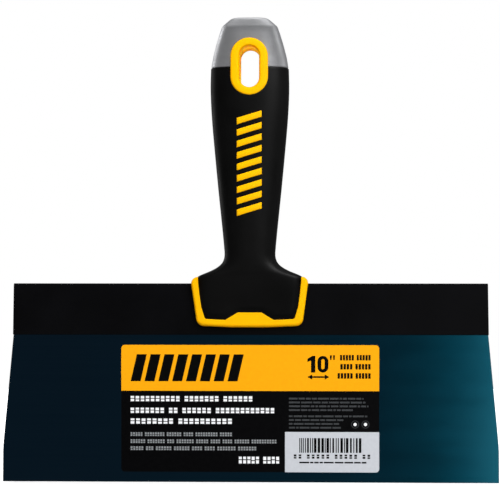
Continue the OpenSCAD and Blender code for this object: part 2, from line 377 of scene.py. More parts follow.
class NodeSheet:
    """One material's node tree, with a short call for each node that the finishes use."""

    def __init__(self, name: str) -> None:
        """Start a material that holds one Principled shader.

        Args:
            name: the material's name.
        """
        self.material = bpy.data.materials.new(name)
        self.material.use_nodes = True
        self.nodes = self.material.node_tree.nodes
        self.links = self.material.node_tree.links
        self.shader = self.nodes["Principled BSDF"]
        self.place = self.nodes.new("ShaderNodeTexCoord").outputs["Object"]

    def set(self, **values: float | Corner) -> None:
        """Set constants on the shader.

        Args:
            values: numbers or colours by socket name, with underscores for its spaces.
        """
        for key, value in values.items():
            socket = self.shader.inputs[key.replace("_", " ")]
            socket.default_value = (*value, 1.0) if isinstance(value, tuple) else value

    def stretched(self, scale: Corner) -> bpy.types.NodeSocket:
        """Scale the object coordinates.

        Args:
            scale: factor along each axis.

        Returns:
            The scaled coordinates.
        """
        node = self.nodes.new("ShaderNodeMapping")
        node.inputs["Scale"].default_value = scale
        self.links.new(self.place, node.inputs["Vector"])
        return node.outputs["Vector"]

    def noise(
        self, size: float, detail: float = 3.0, stretch: Corner = (1.0, 1.0, 1.0)
    ) -> bpy.types.NodeSocket:
        """Add noise whose features are about size millimetres across.

        Args:
            size: feature size in millimetres.
            detail: octaves of finer noise.
            stretch: how many times finer the noise is along each axis.

        Returns:
            The noise value, from 0 to 1.
        """
        node = self.nodes.new("ShaderNodeTexNoise")
        node.inputs["Scale"].default_value = 1.0 / (size * MM)
        node.inputs["Detail"].default_value = detail
        self.links.new(self.stretched(stretch), node.inputs["Vector"])
        return node.outputs[0]

    def cells(self, size: float) -> bpy.types.NodeSocket:
        """Add cells round scattered points.

        Args:
            size: distance between the points in millimetres.

        Returns:
            The distance to the nearest point, in cell sizes.
        """
        node = self.nodes.new("ShaderNodeTexVoronoi")
        node.inputs["Scale"].default_value = 1.0 / (size * MM)
        self.links.new(self.place, node.inputs["Vector"])
        return node.outputs["Distance"]

    def mapped(
        self, value: bpy.types.NodeSocket, low: float, high: float, start: float = 0.3, stop: float = 0.7
    ) -> bpy.types.NodeSocket:
        """Map a value from one span onto another.

        Args:
            value: value to map.
            low: result at start.
            high: result at stop.
            start: where the value's own span starts.
            stop: where it stops.

        Returns:
            The mapped value.
        """
        node = self.nodes.new("ShaderNodeMapRange")
        for key, number in (("From Min", start), ("From Max", stop), ("To Min", low), ("To Max", high)):
            node.inputs[key].default_value = number
        self.links.new(value, node.inputs["Value"])
        return node.outputs["Result"]

    def across(self, wander: bpy.types.NodeSocket, reach: float) -> bpy.types.NodeSocket:
        """Return the place along X in millimetres, wandering by up to reach either way.

        Args:
            wander: noise that shifts the place.
            reach: largest shift in millimetres.

        Returns:
            The shifted place.
        """
        split = self.nodes.new("ShaderNodeSeparateXYZ")
        self.links.new(self.place, split.inputs[0])
        node = self.nodes.new("ShaderNodeMath")
        node.operation = "MULTIPLY_ADD"
        node.inputs[1].default_value = 1.0 / MM
        self.links.new(split.outputs["X"], node.inputs[0])
        self.links.new(self.mapped(wander, -reach, reach), node.inputs[2])
        return node.outputs[0]

    def ramp(
        self, value: bpy.types.NodeSocket, stops: Sequence[tuple[float, Corner]]
    ) -> bpy.types.NodeSocket:
        """Return a colour read from stops along a value.

        Args:
            value: value to read at.
            stops: value and colour of each stop, in rising order.

        Returns:
            The colour.
        """
        first, last = stops[0][0], stops[-1][0]
        node = self.nodes.new("ShaderNodeValToRGB")
        node.color_ramp.interpolation = "B_SPLINE"
        while len(node.color_ramp.elements) < len(stops):
            node.color_ramp.elements.new(0.5)
        for element, (place, colour) in zip(node.color_ramp.elements, stops):
            element.position = (place - first) / (last - first)
            element.color = (*colour, 1.0)
        self.links.new(self.mapped(value, 0.0, 1.0, first, last), node.inputs[0])
        return node.outputs[0]

    def mixed(
        self,
        factor: bpy.types.NodeSocket,
        first: Corner | bpy.types.NodeSocket,
        second: Corner | bpy.types.NodeSocket,
    ) -> bpy.types.NodeSocket:
        """Mix two colours.

        Args:
            factor: share of the second colour.
            first: colour at a factor of 0.
            second: colour at a factor of 1.

        Returns:
            The mixed colour.
        """
        node = self.nodes.new("ShaderNodeMix")
        node.data_type = "RGBA"
        self.links.new(factor, node.inputs["Factor"])
        for socket, colour in ((node.inputs[MIX_FIRST], first), (node.inputs[MIX_SECOND], second)):
            if isinstance(colour, tuple):
                socket.default_value = (*colour, 1.0)
            else:
                self.links.new(colour, socket)
        return node.outputs[MIX_RESULT]

    def bumped(
        self,
        height: bpy.types.NodeSocket,
        depth: float,
        strength: float = 1.0,
        over: bpy.types.NodeSocket | None = None,
    ) -> bpy.types.NodeSocket:
        """Turn a height into relief.

        Args:
            height: the relief's height, from 0 to 1.
            depth: depth of the relief in millimetres.
            strength: share of the relief that shows.
            over: a coarser relief's normal that this one lies on.

        Returns:
            The normal of the surface with its relief.
        """
        node = self.nodes.new("ShaderNodeBump")
        node.inputs["Strength"].default_value = strength
        node.inputs["Distance"].default_value = depth * MM
        self.links.new(height, node.inputs["Height"])
        if over is not None:
            self.links.new(over, node.inputs["Normal"])
        return node.outputs["Normal"]

    def feed(self, **sockets: bpy.types.NodeSocket) -> bpy.types.Material:
        """Link sockets into the shader.

        Args:
            sockets: what feeds each shader socket, by its name with underscores for spaces.

        Returns:
            The finished material.
        """
        for key, socket in sockets.items():
            self.links.new(socket, self.shader.inputs[key.replace("_", " ")])
        return self.material


@dataclass(frozen=True)
class Finish(ABC):
    """A surface finish: its name, its two nearly equal colours and its roughness."""

    name: str
    colour: Corner
    shade: Corner
    roughness: float = 0.4

    @abstractmethod
    def material(self) -> bpy.types.Material:
        """Return the finish's material."""

    def surfaced(
        self,
        sheet: NodeSheet,
        tone: bpy.types.NodeSocket,
        gloss: bpy.types.NodeSocket,
        spread: tuple[float, float],
        relief: bpy.types.NodeSocket,
    ) -> bpy.types.Material:
        """Feed a sheet with this finish's colours, roughness and relief.

        Args:
            sheet: the material's node tree.
            tone: noise that mixes the two colours.
            gloss: noise that the roughness follows.
            spread: how far the roughness goes below and above its own value.
            relief: the surface's normal.

        Returns:
            The finished material.
        """
        colour = sheet.mixed(sheet.mapped(tone, 0.0, 1.0), self.colour, self.shade)
        below, above = spread
        rough = sheet.mapped(gloss, self.roughness - below, self.roughness + above)
        return sheet.feed(Base_Color=colour, Roughness=rough, Normal=relief)


@dataclass(frozen=True)
class BluedSteel(Finish):
    """Heat-blued spring steel whose heat tint drifts along the sheet, with a painted sheen that lightens
    it towards the right end.
    """

    roughness: float = 0.19
    # place along X in millimetres, colour in linear light: heat tint drift plus a painted sheen that
    # lightens the right end
    temper_and_painted_sheen: tuple[tuple[float, Corner], ...] = (
        (-90.0, (0.0110, 0.0270, 0.0500)),
        (60.0, (0.0030, 0.0430, 0.0750)),
        (86.0, (0.0015, 0.0470, 0.0760)),
        (107.0, (0.0022, 0.0700, 0.1120)),
        (125.0, (0.0110, 0.1250, 0.1800)),
    )

    def material(self) -> bpy.types.Material:
        """Make bare metal whose heat tint drifts along X under a painted sheen that lightens the right
        end, with grain lines and rub marks.

        Returns:
            The material.
        """
        sheet = NodeSheet(self.name)
        sheet.set(Metallic=1.0)
        cloud = sheet.noise(46.0, 3.0)
        grain = sheet.noise(2.4, 4.0, (0.04, 1.0, 3.0))
        rubs = sheet.noise(9.0, 5.0, (0.25, 1.0, 1.0))
        # the ramp along X paints a sheen onto the heat tint, lighter teal towards the right end
        temper_and_painted_sheen = sheet.ramp(sheet.across(cloud, 5.0), self.temper_and_painted_sheen)
        tint = sheet.mixed(sheet.mapped(cloud, 0.0, 0.1), temper_and_painted_sheen, self.colour)
        lined = sheet.mixed(sheet.mapped(grain, 0.0, 0.05), tint, self.shade)
        rough = sheet.mapped(rubs, self.roughness - 0.025, self.roughness + 0.03)
        return sheet.feed(
            Base_Color=lined, Roughness=rough, Normal=sheet.bumped(grain, 0.003, 0.25)
        )


@dataclass(frozen=True)
class CoatedSteel(Finish):
    """Baked black coating with a faint orange-peel surface."""

    roughness: float = 0.38

    def material(self) -> bpy.types.Material:
        """Make a smooth dark coating whose gloss wanders slightly.

        Returns:
            The material.
        """
        sheet = NodeSheet(self.name)
        sheet.set(Specular_IOR_Level=0.05)
        peel = sheet.noise(1.1, 2.0)
        cloud = sheet.noise(28.0, 3.0)
        return self.surfaced(sheet, cloud, cloud, (0.04, 0.06), sheet.bumped(peel, 0.02, 0.3))


@dataclass(frozen=True)
class MouldedPlastic(Finish):
    """Hard moulded plastic with a fine spark-eroded texture."""

    roughness: float = 0.36
    scatter: float = 0.12
    scatter_depth: float = 0.0015

    def material(self) -> bpy.types.Material:
        """Make slightly translucent plastic with a fine grain and faint flow marks.

        Returns:
            The material.
        """
        sheet = NodeSheet(self.name)
        sheet.set(Subsurface_Weight=self.scatter, Subsurface_Scale=self.scatter_depth)
        sheet.set(Specular_IOR_Level=0.1)
        grain = sheet.noise(0.35, 2.0)
        flow = sheet.noise(14.0, 4.0, (1.0, 1.0, 0.35))
        return self.surfaced(sheet, flow, grain, (0.05, 0.07), sheet.bumped(grain, 0.012, 0.35))


@dataclass(frozen=True)
class SoftRubber(Finish):
    """Soft-touch elastomer with a stippled skin."""

    roughness: float = 0.47

    def material(self) -> bpy.types.Material:
        """Make matt black rubber with stipple, faint bloom and handling marks.

        Returns:
            The material.
        """
        sheet = NodeSheet(self.name)
        sheet.set(Specular_IOR_Level=0.055)
        stipple = sheet.cells(0.55)
        bloom = sheet.noise(22.0, 4.0)
        fine = sheet.noise(0.8, 3.0)
        relief = sheet.bumped(fine, 0.012, 0.3, sheet.bumped(stipple, 0.03, 0.25))
        return self.surfaced(sheet, bloom, bloom, (0.05, 0.07), relief)


@dataclass(frozen=True)
class CastMetal(Finish):
    """Tumbled zinc casting with a dull nickel finish."""

    def material(self) -> bpy.types.Material:
        """Make grey metal with a tumbled grain, soft clouds and small dings.

        Returns:
            The material.
        """
        sheet = NodeSheet(self.name)
        sheet.set(Metallic=1.0)
        grain = sheet.noise(0.5, 4.0)
        cloud = sheet.noise(7.0, 4.0)
        dings = sheet.cells(3.4)
        pitted = sheet.bumped(sheet.mapped(dings, 0.0, 1.0, 0.0, 0.16), 0.02, 0.25)
        relief = sheet.bumped(grain, 0.015, 0.3, pitted)
        return self.surfaced(sheet, cloud, cloud, (0.05, 0.06), relief)


@dataclass(frozen=True)
class PrintedFilm(Finish):
    """Printed and laminated label film, or the ink on it."""

    roughness: float = 0.32

    def material(self) -> bpy.types.Material:
        """Make flat print with slight mottle under a smooth laminate.

        Returns:
            The material.
        """
        sheet = NodeSheet(self.name)
        sheet.set(Specular_IOR_Level=0.06)
        mottle = sheet.noise(1.6, 4.0)
        ripple = sheet.noise(16.0, 2.0)
        relief = sheet.bumped(ripple, 0.03, 0.25)
        return self.surfaced(sheet, mottle, mottle, (0.03, 0.05), relief)


class Slot(Enum):
    """The record's material slots."""

    BLADE = "blued_steel"
    SPINE = "spine_coat"
    RIVET = "rivet_steel"
    YELLOW = "yellow_plastic"
    RUBBER = "soft_rubber"
    CAP = "cast_metal"
    LABEL = "label_film"


class Palette(Enum):
    """Every finish on the knife."""

    BLADE = BluedSteel("blued_steel", srgb(24, 56, 76), srgb(60, 84, 104))
    SPINE = CoatedSteel("black_coat", srgb(5, 5, 6), srgb(8, 8, 10))
    RIVET = CastMetal("rivet_steel", srgb(190, 190, 192), srgb(170, 170, 172))
    YELLOW = MouldedPlastic("yellow_plastic", srgb(255, 188, 0), srgb(252, 183, 0))
    # a lighter copy of the yellow for the slot's inner wall: painted light where the bore lies in shade
    BORE = MouldedPlastic(
        "yellow_plastic_bore", srgb(255, 203, 14), srgb(252, 198, 12), 0.5, 0.6, 0.005
    )
    RUBBER = SoftRubber("soft_rubber", srgb(3, 3, 3), srgb(6, 6, 6))
    CAP = CastMetal("cast_cap", srgb(226, 227, 230), srgb(212, 213, 216), 0.5)
    FILM_YELLOW = PrintedFilm("film_yellow", srgb(244, 166, 14), srgb(240, 162, 13))
    FILM_BLACK = PrintedFilm("film_black", srgb(3, 3, 4), srgb(5, 5, 6))
    FILM_WHITE = PrintedFilm("film_white", srgb(194, 197, 203), srgb(189, 192, 198))
    INK_BLACK = PrintedFilm("ink_black", srgb(4, 4, 4), srgb(7, 7, 6))
    INK_WHITE = PrintedFilm("ink_white", srgb(236, 237, 240), srgb(230, 231, 234))
    INK_GREY = PrintedFilm("ink_grey", srgb(140, 143, 146), srgb(130, 133, 136))
    INK_DIM = PrintedFilm("ink_dim", srgb(62, 64, 66), srgb(54, 56, 58))


MATERIALS: dict[Palette, bpy.types.Material] = {}


def material_of(finish: Palette) -> bpy.types.Material:
    """Look up a finish's material, which is made once.

    Args:
        finish: the finish.

    Returns:
        Its material.
    """
    if finish not in MATERIALS:
        MATERIALS[finish] = finish.value.material()
    return MATERIALS[finish]


# ---------------------------------------------------------------- the knife's sub-assemblies


@dataclass
class SubAssembly(ABC):
    """A group of pieces that is built, then dressed and tied to the CAD frame."""

    pieces: list[bpy.types.Object] = field(default_factory=list, init=False)

    @abstractmethod
    def build(self) -> None:
        """Make the group's meshes."""

    @abstractmethod
    def dress(self) -> None:
        """Give the group's meshes their finishes and their places in the frame."""

    def finish_piece(
        self, piece: bpy.types.Object, slot: Slot, finishes: Sequence[Palette], *nodes: str
    ) -> None:
        """Dress one piece and tie it to the frame.

        Args:
            piece: the piece to dress.
            slot: the record's material slot; not used.
            finishes: finishes in the order of the mesh's material indices.
            nodes: CAD nodes that the piece stands for.
        """
        for finish in finishes:
            piece.data.materials.append(material_of(finish))
        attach(piece, BODY)
        if nodes:
            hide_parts(*nodes)


@dataclass
class Blade(SubAssembly):
    """The flared blued-steel sheet."""

    half_edge: float = 127.0
    straight: float = 19.0
    half_throat: float = 121.5
    throat_z: float = 75.4
    top_z: float = 100.2
    half_thick: float = 0.25
    edge_radius: float = 0.09
    bend_below: float = 3.0
    bend_above: float = 4.0
    # how far in the side has come at the start, middle and end of its bend
    bend: tuple[float, float, float] = (0.1, 0.25, 0.2)
    throat_ease: float = 6.0
    tuck: float = 1.0

    def build(self) -> None:
        """Make the sheet, with its flare eased into the straight sides."""
        lean = (self.half_edge - self.half_throat) / (self.throat_z - self.straight)
        start, middle, end = self.bend
        half = [
            (self.half_edge, 0.0),
            (self.half_edge - start, self.straight - self.bend_below),
            (self.half_edge - middle, self.straight),
            (self.half_edge - end - lean * self.bend_above, self.straight + self.bend_above),
            (self.half_throat + lean * self.throat_ease, self.throat_z - self.throat_ease),
            (self.half_throat, self.throat_z),
            (self.half_throat - self.tuck, self.top_z),
        ]
        outline = mirrored(half)
        shell = Shell()
        radii = [self.edge_radius] * len(outline)
        shell.prism(
            outline, lambda x, z: -self.half_thick, lambda x, z: self.half_thick, radii, 3
        )
        self.pieces = [shell.to_object("blade_sheet")]

    def dress(self) -> None:
        """Finish the sheet in blued steel."""
        weight_normals(self.pieces[0])
        self.finish_piece(self.pieces[0], Slot.BLADE, [Palette.BLADE], "blade")


@dataclass
class Spine(SubAssembly):
    """The folded strip that stiffens the blade."""

    half_low: float = 121.7
    half_top: float = 121.3
    low_z: float = 75.4
    top_z: float = 101.7
    half_thick: float = 1.25
    gap: float = 0.26
    gap_top: float = 0.6
    gap_lift: float = 0.05
    seam: float = 0.001
    lip_radius: float = 0.3
    end_radius: float = 0.25

    def build(self) -> None:
        """Make the fold from its end view, leaning in slightly towards its top."""
        crest = self.top_z - self.half_thick
        lip = self.lip_radius
        half = [
            (self.gap, crest - self.gap_top),
            (self.gap, self.low_z + self.gap_lift),
            *arc((self.gap + lip, self.low_z + lip), lip, 225.0, 270.0, 3),
            *arc((self.half_thick - lip, self.low_z + lip), lip, -90.0, 0.0, 5),
            *arc((0.0, crest), self.half_thick, 0.0, 90.0, 12)[:-1],
            (self.seam, self.top_z),
        ]
        outline = mirrored(half)
        slope = (self.half_low - self.half_top) / (self.top_z - self.low_z)

        def reach(y: float, z: float) -> float:
            """Return the spine's half length at height z."""
            return self.half_low - slope * (z - self.low_z)

        shell = Shell()
        shell.prism(
            outline,
            lambda y, z: -reach(y, z),
            reach,
            [self.end_radius] * len(outline),
            3,
            swap=True,
        )
        self.pieces = [shell.to_object("folded_spine")]

    def dress(self) -> None:
        """Finish the fold in black coating."""
        weight_normals(self.pieces[0])
        self.finish_piece(self.pieces[0], Slot.SPINE, [Palette.SPINE], "spine")


@dataclass
class HangSlot:
    """Sizes of the slot that goes through the handle's top."""

    centre_z: float = 211.6
    radius: float = 5.0
    run: float = 10.9
    flange_radius: float = 9.55
    flange_run: float = 10.0
    barrel: float = 1.6
    crest: float = 14.4
    seat: float = 11.2
    cutter_reach: float = 20.0

    def cutter(self) -> bpy.types.Object:
        """Make a slot-shaped bar whose wall runs inside the bush's barrel.

        Returns:
            The bar, to be cut out of the handle's parts.
        """
        radius = self.radius + self.barrel / 2
        shell = Shell()
        ring = stadium(radius, self.run, 0.0)
        ends = (-self.cutter_reach, self.cutter_reach)
        shell.loft([[(x, y, z + self.centre_z) for x, _, z in ring] for y in ends])
        return shell.to_object("slot_cutter")


@dataclass
class Grip(SubAssembly):
    """The black soft grip, from the pads on the foot up to the end cap."""

    slot: HangSlot = field(default_factory=HangSlot)
    columns: int = 176
    top_z: float = 211.35
    sill_z: float = 83.35
    crown_z: float = 87.1
    crown_half_top: float = 6.0
    crown_half_base: float = 12.4
    sill_half: float = 24.0
    sill_rise: float = 0.35
    shoulder_z: float = 105.1
    shoulder_over: float = 0.6
    pad_dip: float = 0.55
    pad_reach: float = 3.2
    pad_fade: float = 3.0
    pad_share: float = 0.7
    rim_low: float = 1.0
    rim_radius: float = 0.5
    rim_steps: int = 4
    # height, inner half width between the frame's arms
    arms: tuple[Point, ...] = ((83.4, 22.85), (90.0, 24.65), (97.0, 25.6), (103.0, 26.2))
    # height at which a run of sections starts, spacing in it
    runs: tuple[Point, ...] = ((82.4, 0.55), (103.0, 0.4), (116.0, 1.9))
    # height, half width, half depth, squareness
    form: tuple[tuple[float, float, float, float], ...] = (
        (82.4, 22.6, 6.9, 9.0),
        (86.0, 25.0, 7.25, 9.0),
        (92.0, 26.6, 7.75, 9.0),
        (99.0, 27.1, 8.5, 8.0),
        (103.0, 27.0, 9.0, 6.5),
        (105.3, 26.3, 9.3, 5.2),
        (106.5, 23.9, 9.5, 4.6),
        (107.5, 21.4, 9.7, 4.1),
        (108.6, 19.0, 9.85, 3.7),
        (109.7, 17.0, 10.0, 3.4),
        (111.2, 15.1, 10.2, 3.1),
        (113.0, 13.75, 10.4, 2.85),
        (116.0, 13.0, 10.7, 2.6),
        (120.0, 13.2, 11.0, 2.5),
        (131.0, 14.25, 11.5, 2.5),
        (150.0, 16.2, 12.3, 2.5),
        (170.0, 18.1, 13.1, 2.5),
        (186.0, 19.45, 13.65, 2.6),
        (200.0, 20.1, 13.9, 2.7),
        (211.5, 19.9, 13.8, 2.8),
    )

    def heights(self) -> list[float]:
        """List where the grip's sections lie, closest together round the shoulders.

        Returns:
            The heights, rising.
        """
        rim = self.top_z - self.rim_low
        ends = [start for start, _ in self.runs[1:]] + [rim]
        runs = [np.arange(start, end, pitch) for (start, pitch), end in zip(self.runs, ends)]
        return [*np.concatenate(runs), rim, self.top_z - self.rim_radius]

    def sill_at(self, x: float) -> float:
        """Find the top of the frame's sill, with its raised crown.

        Args:
            x: place along the sill.

        Returns:
            The height there.
        """
        bounds = [0.0, self.crown_half_top, self.crown_half_base, self.sill_half]
        tops = [self.crown_z, self.crown_z, self.sill_z, self.sill_z + self.sill_rise]
        return float(np.interp(abs(x), bounds, tops))

    def arm_at(self, z: float) -> float:
        """Return the inner half width between the frame's arms at height z."""
        return float(np.interp(z, *zip(*self.arms)))

    def lift(self, x: float, z: float) -> float:
        """Find how far the pad dips below its own form near the frame.

        Args:
            x: place across the pad.
            z: height.

        Returns:
            The dip as a number at or below zero.
        """
        if z > self.shoulder_z + self.shoulder_over:
            return 0.0
        inside = min(z - self.sill_at(x), self.arm_at(z) - abs(x))
        fade = smoothstep((self.shoulder_z + self.shoulder_over - z) / self.pad_fade)
        return -self.pad_dip * fade * (1.0 - smoothstep(inside / self.pad_reach))

    def front_depth(self, x: float, z: float) -> float:
        """Find the grip's surface at a point seen from the front.

        Args:
            x: place across the grip.
            z: height.

        Returns:
            Its distance forward of the blade's plane.
        """
        half_width, half_depth, squareness = interpolate(self.form, z)
        share = min(1.0, abs(x) / half_width)
        return half_depth * (1.0 - share**squareness) ** (1.0 / squareness)

    def ring(self, z: float, inset: float = 0.0) -> list[Corner]:
        """Find the grip's section, with the pads' dips in it.

        Args:
            z: height of the section.
            inset: how far it is taken in.

        Returns:
            The section's points.
        """
        half_width, half_depth, squareness = interpolate(self.form, z)
        points = section(half_width - inset, half_depth - inset, squareness, self.columns)
        out = []
        for x, y in points:
            share = min(1.0, abs(y) / (half_depth * self.pad_share))
            out.append((x, y + math.copysign(share, y) * self.lift(x, z), z))
        return out

    def build(self) -> None:
        """Loft the grip and cut the hang slot through it."""
        rings = [self.ring(z) for z in self.heights()]
        radius = self.rim_radius
        for k in range(1, self.rim_steps + 1):
            turn = math.radians(90.0 * k / self.rim_steps)
            z = self.top_z - radius + radius * math.sin(turn)
            rings.append(self.ring(z, radius * (1.0 - math.cos(turn))))
        shell = Shell()
        shell.loft(rings)
        skin = shell.to_object("grip_skin", 50.0)
        carve(skin, self.slot.cutter())
        self.pieces = [skin]

    def dress(self) -> None:
        """Finish the grip in soft rubber."""
        self.finish_piece(self.pieces[0], Slot.RUBBER, [Palette.RUBBER], "soft_grip")


@dataclass
class Core(SubAssembly):
    """What shows of the hard yellow core: the foot's frame and the slats in the grip."""

    grip: Grip = field(default_factory=Grip)
    foot_z: float = 79.4
    foot_top: float = 105.1
    bow: float = 0.6
    half_low: float = 27.3
    half_top: float = 29.7
    corner_radius: float = 4.0
    arm_radius: float = 3.3
    arm_turn: float = 84.0
    arm_gap: float = 0.25
    lean: float = 8.0
    depth_low: float = 6.1
    depth_high: float = 8.9
    outer_edge: float = 1.35
    lip_edge: float = 1.75
    lip_top: float = 84.5
    inner_edge: float = 0.35
    slot_half: float = 1.27
    slot_reach: float = 40.0
    slot_low: float = 60.0
    slot_top: float = 101.72
    slats: int = 9
    slat_low: float = 136.0
    slat_high: float = 188.0
    slat_half: float = 6.3
    slat_rise: float = 3.8
    slat_share: float = 0.56
    slat_proud: float = 0.32
    slat_bevel: float = 0.28
    slat_drop: float = 0.22
    slat_root: float = 0.9
    # steps from the inner corner of the frame to the points of its rounding
    corner: tuple[Point, ...] = ((-0.9, -0.05), (-0.25, 0.2), (0.15, 0.75))

    def depth_at(self, z: float) -> float:
        """Return the frame's half depth at height z."""
        share = (z - self.foot_z) / (self.foot_top - self.foot_z)
        return self.depth_low + (self.depth_high - self.depth_low) * share

    def edge_at(self, z: float) -> float:
        """Return the outer edge's radius at height z, larger along the bottom lip."""
        share = smoothstep((self.lip_top - z) / (self.lip_top - self.foot_z - self.bow))
        return self.outer_edge + (self.lip_edge - self.outer_edge) * share

    def outer_half(self) -> list[Point]:
        """Draw the frame's outer edge.

        Returns:
            Its right half, from the bottom up.
        """
        r, a = self.corner_radius, self.arm_radius
        return [
            (self.half_low / 3, self.foot_z),
            *arc((self.half_low - r, self.foot_z + self.bow + r), r, -90.0, -self.lean),
            *arc((self.half_top - a, self.foot_top - a), a, -self.lean, self.arm_turn),
        ]

    def inner_half(self) -> list[Point]:
        """Draw the frame's inner edge.

        Returns:
            Its right half, from the bottom up.
        """
        grip = self.grip
        x, z = grip.arms[0][1], grip.sill_z + grip.sill_rise
        return [
            (grip.crown_half_top, grip.crown_z),
            (grip.crown_half_base, grip.sill_z),
            *[(x + dx, z + dz) for dx, dz in self.corner],
            *[(half, height) for height, half in grip.arms[1:]],
            (grip.arms[-1][1], self.foot_top - self.arm_gap),
        ]

    def build_frame(self) -> bpy.types.Object:
        """Make the U-shaped frame with the spine's slot cut through its arms.

        Returns:
            The frame.
        """
        outer, inner = self.outer_half(), self.inner_half()
        outline = [
            *outer,
            *reversed(inner),
            *[(-x, z) for x, z in inner],
            *[(-x, z) for x, z in reversed(outer)],
        ]
        edges = [self.edge_at(z) for _, z in outer]
        radii = edges + [self.inner_edge] * (2 * len(inner)) + edges[::-1]
        for i in (len(outer) - 1, len(outer) + 2 * len(inner)):
            radii[i] = self.inner_edge
        shell = Shell()
        shell.prism(
            outline, lambda x, z: -self.depth_at(z), lambda x, z: self.depth_at(z), radii, 5
        )
        body = shell.to_object("foot_frame", 40.0)
        cutter = Shell()
        reach, half = self.slot_reach, self.slot_half
        cutter.block((-reach, -half, self.slot_low), (reach, half, self.slot_top))
        carve(body, cutter.to_object("spine_slot"))
        return body

    def slat(self, shell: Shell, low_z: float, height: float) -> None:
        """Add one slat that follows the grip's surface.

        Args:
            shell: mesh to add it to.
            low_z: height of its lower left corner.
            height: height of its ends.
        """
        bevel, width = self.slat_bevel, 2 * self.slat_half
        across = [0.0, bevel / width, *np.linspace(0.08, 0.92, 11), 1 - bevel / width, 1.0]
        up = [0.0, bevel / height, 0.5, 1 - bevel / height, 1.0]
        tops: list[list[int]] = []
        floors: list[list[int]] = []
        for j, v in enumerate(up):
            top_row, floor_row = [], []
            for i, u in enumerate(across):
                x = -self.slat_half + width * u
                z = low_z + self.slat_rise * u + height * v
                border = i in (0, len(across) - 1) or j in (0, len(up) - 1)
                skin = self.grip.front_depth(x, z)
                rise = self.slat_proud - (self.slat_drop if border else 0.0)
                top_row.append((x, -skin - rise, z))
                floor_row.append((x, -skin + self.slat_root, z))
            tops.append(shell.ring(top_row))
            floors.append(shell.ring(floor_row))
        for grid in (tops, floors):
            for low, high in zip(grid, grid[1:]):
                for i in range(len(across) - 1):
                    shell.face([low[i], low[i + 1], high[i + 1], high[i]])
        last, top = len(across) - 1, len(up) - 1
        rim = [(0, i) for i in range(last)] + [(j, last) for j in range(top)]
        rim += [(top, i) for i in range(last, 0, -1)] + [(j, 0) for j in range(top, 0, -1)]
        shell.bridge([tops[j][i] for j, i in rim], [floors[j][i] for j, i in rim])

    def build(self) -> None:
        """Make the frame and the column of slats."""
        shell = Shell()
        pitch = (self.slat_high - self.slat_low) / self.slats
        for i in range(self.slats):
            self.slat(shell, self.slat_low + pitch * i, pitch * self.slat_share)
        self.pieces = [self.build_frame(), shell.to_object("grip_slats", 50.0)]

    def dress(self) -> None:
        """Finish the frame and slats in yellow plastic."""
        weight_normals(self.pieces[0])
        self.finish_piece(self.pieces[0], Slot.YELLOW, [Palette.YELLOW], "handle_core")
        self.finish_piece(self.pieces[1], Slot.YELLOW, [Palette.YELLOW])


@dataclass
class EndCap(SubAssembly):
    """The cast cap with its bevelled striking end."""

    slot: HangSlot = field(default_factory=HangSlot)
    columns: int = 176
    crease_z: float = 232.7
    crease_drop: float = 0.8
    crease_reach: float = 3.2
    crease_soft: float = 0.9
    # height, half width, half depth, squareness
    form: tuple[tuple[float, float, float, float], ...] = (
        (210.9, 18.8, 12.6, 3.0),
        (211.4, 19.3, 13.1, 3.0),
        (211.9, 19.68, 13.48, 3.0),
        (217.0, 18.85, 13.4, 3.1),
        (223.0, 17.3, 13.1, 3.2),
        (229.0, 15.45, 12.6, 3.4),
        (232.7, 14.15, 12.05, 3.6),
        (236.3, 9.95, 8.6, 3.6),
        (237.0, 8.2, 7.1, 3.6),
        (237.1, 6.2, 5.2, 3.6),
    )

    def build(self) -> None:
        """Loft the cap with a soft crease round its striking end and cut the slot."""
        rows = softened(self.form, self.crease_soft)
        rings = []
        for z, half_width, half_depth, squareness in rows:
            points = section(half_width, half_depth, squareness, self.columns)
            drop = self.crease_drop * max(0.0, 1.0 - abs(z - self.crease_z) / self.crease_reach)
            rings.append([(x, y, z - drop * (y / half_depth) ** 2) for x, y in points])
        shell = Shell()
        shell.loft(rings)
        cap = shell.to_object("cast_cap", 50.0)
        carve(cap, self.slot.cutter())
        self.pieces = [cap]

    def dress(self) -> None:
        """Finish the cap in cast metal."""
        self.finish_piece(self.pieces[0], Slot.CAP, [Palette.CAP], "end_cap")


